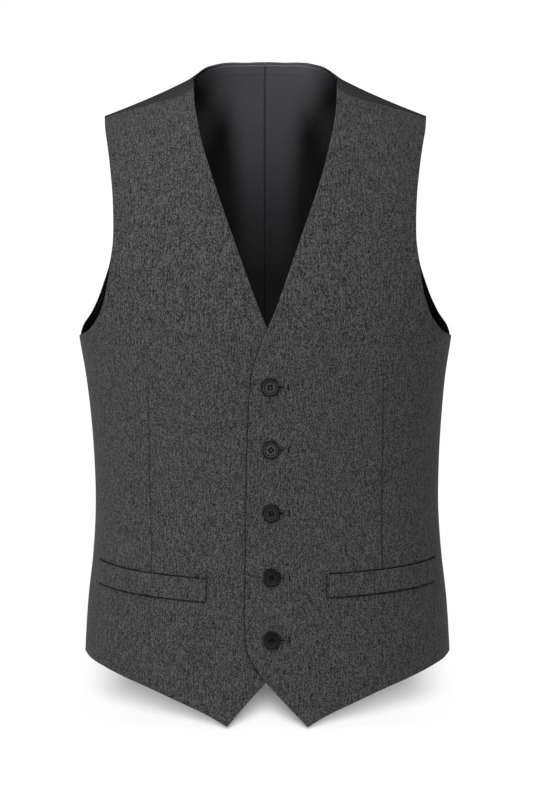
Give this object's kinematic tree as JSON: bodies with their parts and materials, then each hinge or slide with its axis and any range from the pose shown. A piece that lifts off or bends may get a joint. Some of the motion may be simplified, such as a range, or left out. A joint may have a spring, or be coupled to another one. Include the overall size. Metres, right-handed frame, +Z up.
{
  "type": "suit waistcoat",
  "caption": "Single-breasted waistcoat in its worn form: grey wool fronts with a V neck and pointed hem, welt pockets, button front and dark satin back.",
  "frame": {"origin": "on the centre plane between the shoulder straps, at the height where the wearer's shoulders carry them", "axes": "+Z up the body, -Y the way the fronts face, +X towards the wearer's left"},
  "size_m": [0.3636, 0.2453, 0.6471],
  "materials": {
    "wool": "mid-weight melange wool suiting, matt",
    "satin": "smooth lining satin, soft sheen",
    "button": "polished, turned"
  },
  "bodies": {
    "root": {"front_right": "wool", "front_left": "wool", "welt_pocket_right": "wool", "welt_pocket_left": "wool", "back_right": "satin", "back_left": "satin", "back_lining_right": "satin", "back_lining_left": "satin", "button_1": "button", "button_2": "button", "button_3": "button", "button_4": "button", "button_5": "button"}
  },
  "joints": []
}
